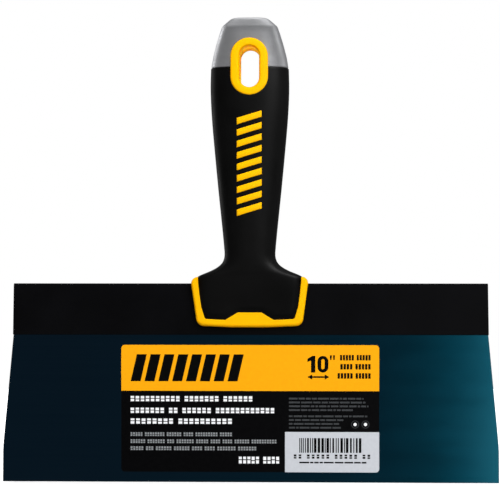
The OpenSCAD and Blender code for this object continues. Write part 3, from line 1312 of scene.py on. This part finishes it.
@dataclass
class Bush(SubAssembly):
    """The two flanged bush halves that line the hang slot."""

    slot: HangSlot = field(default_factory=HangSlot)
    mouth: float = 1.15
    mouth_depth: float = 1.5
    rim: float = 1.1
    rim_drop: float = 0.1
    # bevel at the joint of the halves, as a share of the wall and as a height
    joint: Point = (0.02, 0.12)
    bore_steps: int = 4

    def profile(self) -> list[Point]:
        """Draw a bush half's closed wall.

        Returns:
            Points of (share from the hole to the flange's edge, height above the mid plane).
        """
        slot = self.slot
        wall = slot.flange_radius - slot.radius
        crest, mouth, rim = slot.crest, self.mouth, self.rim
        throat = [(self.joint[0], 0.0), (0.0, self.joint[1])]
        lip = [
            (mouth / wall * (1 - math.cos(a)), crest - self.mouth_depth * mouth * (1 - math.sin(a)))
            for a in np.linspace(0.0, math.pi / 2, 8)
        ]
        edge = [
            (1.0 - rim / wall * (1 - math.sin(a)), crest - self.rim_drop - rim * (1 - math.cos(a)))
            for a in np.linspace(0.0, math.pi / 2, 7)
        ]
        back = [(1.0, slot.seat), (slot.barrel / wall, slot.seat), (slot.barrel / wall, 0.0)]
        return [*throat, *lip, (0.5, crest), *edge, *back]

    def half(self, name: str, side: float) -> bpy.types.Object:
        """Make one bush half.

        Args:
            name: the piece's name.
            side: -1 for the front half and +1 for the rear one.

        Returns:
            The piece.
        """
        slot = self.slot
        rings = []
        for share, height in self.profile():
            radius = slot.radius + share * (slot.flange_radius - slot.radius)
            run = slot.run + share * (slot.flange_run - slot.run)
            ring = stadium(radius, run, side * height)
            rings.append([(x, y, z + slot.centre_z) for x, y, z in ring])
        shell = Shell()
        shell.tube(rings)
        # the bore's faces take the lighter yellow that paints light into the shaded slot
        bore_faces = self.bore_steps * len(rings[0])
        shell.finish[:bore_faces] = [1] * bore_faces
        return shell.to_object(name, 50.0)

    def build(self) -> None:
        """Make both halves."""
        self.pieces = [self.half("bush_front", -1.0), self.half("bush_rear", 1.0)]

    def dress(self) -> None:
        """Finish both halves in yellow plastic, with painted light on the bore in a lighter yellow."""
        nodes = ("hang_bush_front", "hang_bush_rear")
        for piece, node in zip(self.pieces, nodes):
            self.finish_piece(piece, Slot.YELLOW, [Palette.YELLOW, Palette.BORE], node)


class Ink(Enum):
    """The label's inks, with the finish of each."""

    BLACK = Palette.INK_BLACK
    WHITE = Palette.INK_WHITE
    GREY = Palette.INK_GREY
    DIM = Palette.INK_DIM


@dataclass
class Label(SubAssembly):
    """The adhesive label: a printed film with wordless generic print.

    Places on the label are (u, v) in millimetres from its lower left corner.
    """

    width: float = 132.0
    height: float = 65.0
    low_z: float = 5.2
    corner: float = 1.8
    film: float = 0.15
    band_v: float = 41.5
    panel_u: float = 83.9
    panel_v: float = 20.6
    ink_rise: float = 0.02
    seat: float = 0.25
    word_gap: float = 0.7
    slit: float = 0.14
    margin: float = 4.8
    # foot, left end and word lengths of each line beside the size
    size_lines: tuple[tuple[float, float, tuple[int, ...]], ...] = (
        (57.2, 112.0, (5, 5)), (52.6, 112.2, (4, 5)), (47.9, 110.8, (5, 5)),
    )
    # foot, right end and word lengths of each line
    title_lines: tuple[tuple[float, float, tuple[int, ...]], ...] = (
        (36.1, 67.2, (10, 7, 6)), (30.1, 78.4, (7, 2, 6, 12)), (24.6, 56.7, (8, 10)),
    )
    text_lines: tuple[tuple[float, float, tuple[int, ...]], ...] = (
        (18.3, 56.7, (5, 8, 6, 4, 9, 5)),
        (14.7, 79.5, (6, 7, 3, 7, 5, 4, 4, 6, 10)),
        (11.1, 69.2, (5, 3, 6, 6, 4, 4, 7, 7)),
    )
    # foot of the top line and right end of each line in a block of fine print
    fine_print: tuple[tuple[float, tuple[float, ...]], ...] = (
        (37.2, (124.0, 125.0, 126.5, 119.0)), (28.2, (126.5, 113.7, 111.5, 112.4)),
    )
    fine_pitch: float = 1.95
    sign_centres: tuple[Point, ...] = ((119.7, 24.5), (125.0, 24.5))
    dice: random.Random = field(default_factory=lambda: random.Random(11))
    shells: dict[Ink, Shell] = field(default_factory=lambda: {ink: Shell() for ink in Ink})

    def place(self, u: float, v: float, rise: float) -> Corner:
        """Return the point at (u, v), risen from the blade's face."""
        return (u - self.width / 2, -self.seat - rise, self.low_z + v)

    def film_shell(self) -> Shell:
        """Make the film with its yellow, black and white zones as separate faces.

        Returns:
            The film's mesh.
        """
        r, w, h = self.corner, self.width, self.height
        shell = Shell()
        left, right = (0.0, self.band_v), (w, self.band_v)
        foot, inner = (self.panel_u, 0.0), (self.panel_u, self.panel_v)
        outer = (w, self.panel_v)
        zones = (
            [left, right, *arc((w - r, h - r), r, 0, 90, 6), *arc((r, h - r), r, 90, 180, 6)],
            [left, *arc((r, r), r, 180, 270, 6), foot, inner, outer, right],
            [foot, *arc((w - r, r), r, 270, 360, 6), outer, inner],
        )
        for finish, outline in enumerate(zones):
            low = shell.ring([self.place(u, v, 0.0) for u, v in outline])
            high = shell.ring([self.place(u, v, self.film) for u, v in outline])
            shell.bridge(low, high, finish)
            shell.face(list(reversed(low)), finish)
            shell.face(high, finish)
        return shell

    def patch(self, ink: Ink, outline: Sequence[Point]) -> None:
        """Print one patch of ink.

        Args:
            ink: ink to print with.
            outline: the patch's closed outline on the label.
        """
        shell = self.shells[ink]
        low = shell.ring([self.place(u, v, self.film - self.ink_rise) for u, v in outline])
        high = shell.ring([self.place(u, v, self.film + self.ink_rise) for u, v in outline])
        shell.bridge(low, high)
        shell.face(list(reversed(low)))
        shell.face(high)

    def band(self, ink: Ink, outer: Sequence[Point], inner: Sequence[Point]) -> None:
        """Print the band between two closed outlines of equal length.

        Args:
            ink: ink to print with.
            outer: the band's outer outline.
            inner: its inner outline.
        """
        for i in range(len(outer)):
            j = (i + 1) % len(outer)
            self.patch(ink, [outer[i], outer[j], inner[j], inner[i]])

    def bar(self, ink: Ink, u0: float, v0: float, u1: float, v1: float, slant: float = 0.0) -> None:
        """Print an upright or slanted bar."""
        self.patch(ink, [(u0, v0), (u1, v0), (u1 + slant, v1), (u0 + slant, v1)])

    def block_line(
        self, ink: Ink, span: Point, v: float, size: float, words: Sequence[int], gap: float = 0.3,
        split: bool = True,
    ) -> None:
        """Print a line of plain blocks that stands for words.

        Args:
            ink: ink to print with.
            span: left and right ends.
            v: foot of the blocks.
            size: height of the blocks.
            words: number of blocks in each group.
            gap: space after a block as a share of the pitch.
            split: whether each block is split near mid height.
        """
        u, end = span
        pitch = (end - u) / (sum(words) + self.word_gap * (len(words) - 1) - gap)
        for count in words:
            for _ in range(count):
                stop = u + pitch * (1.0 - gap)
                low = v + size * self.dice.choice((0.36, 0.48))
                if split:
                    self.bar(ink, u, v, stop, low)
                    self.bar(ink, u, low + self.slit * size, stop, v + size)
                else:
                    self.bar(ink, u, v, stop, v + size)
                u += pitch
            u += self.word_gap * pitch

    def dash_line(self, ink: Ink, u0: float, u1: float, v: float, size: float) -> None:
        """Print a line of plain dashes as long as words.

        Args:
            ink: ink to print with.
            u0: left end.
            u1: right end.
            v: foot of the dashes.
            size: height of the dashes.
        """
        u = u0
        while u < u1 - 0.5 * size:
            stop = min(u + 0.7 * size * self.dice.randint(2, 9), u1)
            self.bar(ink, u, v, stop, v + size)
            u = stop + 0.6 * size

    def print_emblem(self) -> None:
        """Print a row of heavy slanted bars in the yellow band."""
        count, right, share, slant = 8, 61.6, 0.72, 3.2
        low, high = 46.4, 60.2
        pitch = (right - self.margin) / count
        for i in range(count):
            start = self.margin + pitch * i
            self.bar(Ink.BLACK, start, low, start + pitch * share, high, slant)

    def print_size(self) -> None:
        """Print the nominal width in inches over a double-headed arrow."""
        # figure 1
        self.patch(Ink.BLACK, [
            (97.2, 51.0), (99.4, 51.0), (99.4, 59.5), (97.9, 59.5),
            (95.4, 58.0), (95.4, 56.4), (97.2, 57.1),
        ])
        # figure 0
        self.band(
            Ink.BLACK,
            [*arc((103.3, 56.7), 2.8, 0, 180, 10), *arc((103.3, 53.8), 2.8, 180, 360, 10)],
            [*arc((103.3, 57.0), 0.85, 0, 180, 10), *arc((103.3, 53.5), 0.85, 180, 360, 10)],
        )
        # inch mark
        for start in (106.8, 108.4):
            self.patch(
                Ink.BLACK,
                [(start + 0.2, 57.5), (start + 0.9, 57.5), (start + 1.1, 59.8), (start, 59.8)],
            )
        # arrow
        self.bar(Ink.BLACK, 97.4, 48.3, 104.6, 49.1)
        self.patch(Ink.BLACK, [(95.4, 48.7), (97.8, 47.4), (97.8, 50.0)])
        self.patch(Ink.BLACK, [(106.6, 48.7), (104.2, 50.0), (104.2, 47.4)])

    def print_signs(self) -> None:
        """Print two small blank discs with rings round them."""
        outer, inner, disc = 2.0, 1.7, 0.85
        for centre in self.sign_centres:
            rings = [arc(centre, radius, 0, 360, 28)[:-1] for radius in (outer, inner)]
            self.band(Ink.DIM, *rings)
            self.patch(Ink.WHITE, arc(centre, disc, 0, 360, 20)[:-1])

    def print_bars(self) -> None:
        """Print a plain row of bars on the white panel that encodes nothing."""
        u, last_start, end = 91.2, 123.4, 124.0
        low, high = 10.0, 17.5
        while u < last_start:
            thick = self.dice.choice((0.5, 0.5, 0.9, 1.3))
            self.bar(Ink.BLACK, u, low, min(u + thick, end), high)
            u += thick + self.dice.choice((0.4, 0.6, 0.8))

    def build(self) -> None:
        """Make the film and its print."""
        self.print_emblem()
        self.print_size()
        for v, start, words in self.size_lines:
            self.block_line(Ink.BLACK, (start, 127.6), v, 2.8, words, 0.27, False)
        for v, end, words in self.title_lines:
            self.block_line(Ink.WHITE, (self.margin, end), v, 2.7, words)
        for v, end, words in self.text_lines:
            self.block_line(Ink.GREY, (self.margin, end), v, 1.9, words)
        self.block_line(Ink.WHITE, (60.3, 80.9), 4.4, 3.5, (5, 4))
        for v, ends in self.fine_print:
            for row, end in enumerate(ends):
                self.dash_line(Ink.DIM, 85.9, end, v - self.fine_pitch * row, 0.9)
        self.print_signs()
        self.print_bars()
        self.block_line(Ink.BLACK, (88.4, 127.4), 7.0, 2.1, (2, 5, 5, 2), 0.45)
        self.dash_line(Ink.BLACK, 91.2, 125.5, 4.6, 0.8)
        self.pieces = [self.film_shell().to_object("label_film", 30.0)]
        for ink, shell in self.shells.items():
            self.pieces.append(shell.to_object(f"label_print_{ink.name.lower()}", 30.0))

    def dress(self) -> None:
        """Finish the film in its three colours and each print in its ink."""
        film = [Palette.FILM_YELLOW, Palette.FILM_BLACK, Palette.FILM_WHITE]
        self.finish_piece(self.pieces[0], Slot.LABEL, film, "label")
        for piece, ink in zip(self.pieces[1:], Ink):
            self.finish_piece(piece, Slot.LABEL, [ink.value])


@dataclass
class Rivets(SubAssembly):
    """The three hidden rivets, kept as the CAD frame has them."""

    names: tuple[str, ...] = ("rivet_left", "rivet_centre", "rivet_right")

    def build(self) -> None:
        """Take the rivets from the frame."""
        self.pieces = [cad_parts[name] for name in self.names]

    def dress(self) -> None:
        """Finish the rivets in steel."""
        for piece in self.pieces:
            piece.data.materials.clear()
            piece.data.materials.append(material_of(Palette.RIVET))


# ---------------------------------------------------------------- the studio


class Cast(Enum):
    """What a light adds: body colour, sheen or both, as (diffuse, glossy)."""

    BOTH = (True, True)
    BODY = (True, False)
    SHEEN = (False, True)


@dataclass(frozen=True)
class Softbox:
    """One rectangular soft light aimed at a point, in metres, with its power in watts."""

    name: str
    place: Corner
    aim: Corner
    size: Point
    power: float
    cast: Cast = Cast.BOTH
    only: str | None = None

    def build(self) -> None:
        """Make the light, which falls on one named piece alone if "only" is set."""
        lamp = bpy.data.lights.new(self.name, "AREA")
        lamp.shape = "RECTANGLE"
        lamp.size, lamp.size_y = self.size
        lamp.energy = self.power
        light = bpy.data.objects.new(self.name, lamp)
        light.location = self.place
        direction = Vector(self.aim) - Vector(self.place)
        light.rotation_euler = direction.to_track_quat("-Z", "Y").to_euler()
        light.visible_diffuse, light.visible_glossy = self.cast.value
        light.visible_camera = False
        bpy.context.scene.collection.objects.link(light)
        if self.only is not None:
            lit = bpy.data.collections.new(self.name)
            lit.objects.link(bpy.data.objects[self.only])
            light.light_linking.receiver_collection = lit


@dataclass
class Studio:
    """Floor, sky, lights and camera, in metres."""

    view_width: float = 0.2557
    distance: float = 1.0
    height: float = 0.1188
    offset: float = 0.034
    sensor_mm: float = 36.0
    floor_radius: float = 0.7
    # foot and top of the floor in millimetres
    floor_span: Point = (-6.0, -0.02)
    floor_white: float = 0.9
    floor_roughness: float = 0.8
    floor_glow: float = 0.45
    ambient: float = 0.22
    lights: tuple[Softbox, ...] = (
        # broad light on the front and the back
        Softbox("fill_front", (0.35, -1.1, 0.8), (0.0, 0.0, 0.12), (1.2, 0.9), 23.0, Cast.BODY),
        Softbox("fill_back", (-0.35, 1.1, 0.8), (0.0, 0.0, 0.12), (1.2, 0.9), 18.0, Cast.BODY),
        # bright rims, a glow mirrored in the blade's right end, and light on top
        Softbox("rim_right", (0.95, 0.1, 0.4), (0.0, 0.0, 0.15), (0.5, 0.9), 1.0),
        Softbox("rim_left", (-0.8, 0.6, 0.35), (0.0, 0.0, 0.15), (0.4, 0.9), 2.2),
        Softbox("sheen_right", (0.58, -1.4, 0.0), (0.58, 0.0, 0.0), (0.62, 1.1), 3.6),
        Softbox("overhead", (0.1, 0.35, 1.2), (0.0, 0.0, 0.12), (1.0, 0.7), 2.6),
        # a soft gleam on the grip's right shoulder
        Softbox(
            "crest_right", (0.25, -0.3, 0.44), (0.02, 0.0, 0.105), (0.17, 0.25), 6.0, Cast.SHEEN,
            "grip_skin",
        ),
        # a glow on the hang slot's wall, one light for each bush half
        Softbox(
            "slot_near", (0.0, 0.35, 0.02), (0.0, 0.0, 0.215), (0.25, 0.2), 1.3, Cast.BODY,
            "bush_front",
        ),
        Softbox(
            "slot_far", (0.0, -0.35, 0.02), (0.0, 0.0, 0.215), (0.25, 0.2), 0.7, Cast.BODY,
            "bush_rear",
        ),
    )

    def build_floor(self) -> None:
        """Make a plain pale round floor just under the working edge."""
        shell = Shell()
        rim = arc((0.0, 0.0), self.floor_radius / MM, 0.0, 360.0, 96)[:-1]
        shell.loft([[(x, y, z) for x, y in rim] for z in self.floor_span])
        floor = shell.to_object("studio_floor")
        floor.visible_glossy = False
        floor.visible_diffuse = False
        floor.visible_shadow = False
        sheet = NodeSheet("pale_floor")
        white = (self.floor_white,) * 3
        sheet.set(Base_Color=white, Roughness=self.floor_roughness)
        sheet.set(Emission_Color=white, Emission_Strength=self.floor_glow)
        floor.data.materials.append(sheet.material)

    def build_sky(self) -> None:
        """Make a white backdrop that lights the knife only gently."""
        world = bpy.data.worlds.new("studio_sky")
        bpy.context.scene.world = world
        world.use_nodes = True
        nodes, links = world.node_tree.nodes, world.node_tree.links
        glow = nodes["Background"]
        glow.inputs["Color"].default_value = (1.0, 1.0, 1.0, 1.0)
        glow.inputs["Strength"].default_value = self.ambient
        backdrop = nodes.new("ShaderNodeBackground")
        backdrop.inputs["Color"].default_value = (1.0, 1.0, 1.0, 1.0)
        path = nodes.new("ShaderNodeLightPath")
        mix = nodes.new("ShaderNodeMixShader")
        links.new(path.outputs["Is Camera Ray"], mix.inputs["Fac"])
        links.new(glow.outputs[0], mix.inputs[1])
        links.new(backdrop.outputs[0], mix.inputs[2])
        links.new(mix.outputs[0], nodes["World Output"].inputs["Surface"])

    def build_camera(self) -> None:
        """Place the camera in front of the knife at the middle of its height."""
        data = bpy.data.cameras.new("camera")
        data.sensor_width = self.sensor_mm
        data.lens = data.sensor_width * self.distance / self.view_width
        data.clip_end = 100.0
        camera = bpy.data.objects.new("camera", data)
        camera.location = (self.offset, -self.distance, self.height)
        aim = Vector((0.0, 0.0, self.height)) - camera.location
        camera.rotation_euler = aim.to_track_quat("-Z", "Y").to_euler()
        bpy.context.scene.collection.objects.link(camera)
        bpy.context.scene.camera = camera

    def build(self) -> None:
        """Set up the whole studio."""
        self.build_floor()
        self.build_sky()
        self.build_camera()
        for light in self.lights:
            light.build()
        bpy.context.scene.view_settings.view_transform = "Standard"
        LOG.info("studio: %d lights", len(self.lights))


def main() -> None:
    """Build the knife's looks and the studio."""
    logging.basicConfig(level=logging.INFO, format="%(name)s: %(message)s")
    slot = HangSlot()
    grip = Grip(slot=slot)
    assemblies: list[SubAssembly] = [
        Blade(), Spine(), Rivets(), Core(grip=grip), grip, EndCap(slot=slot), Bush(slot=slot), Label(),
    ]
    for assembly in assemblies:
        assembly.build()
        assembly.dress()
        for piece in assembly.pieces:
            LOG.info("%s: %s, %d faces", type(assembly).__name__, piece.name, len(piece.data.polygons))
    Studio().build()


if __name__ == "__main__":
    main()
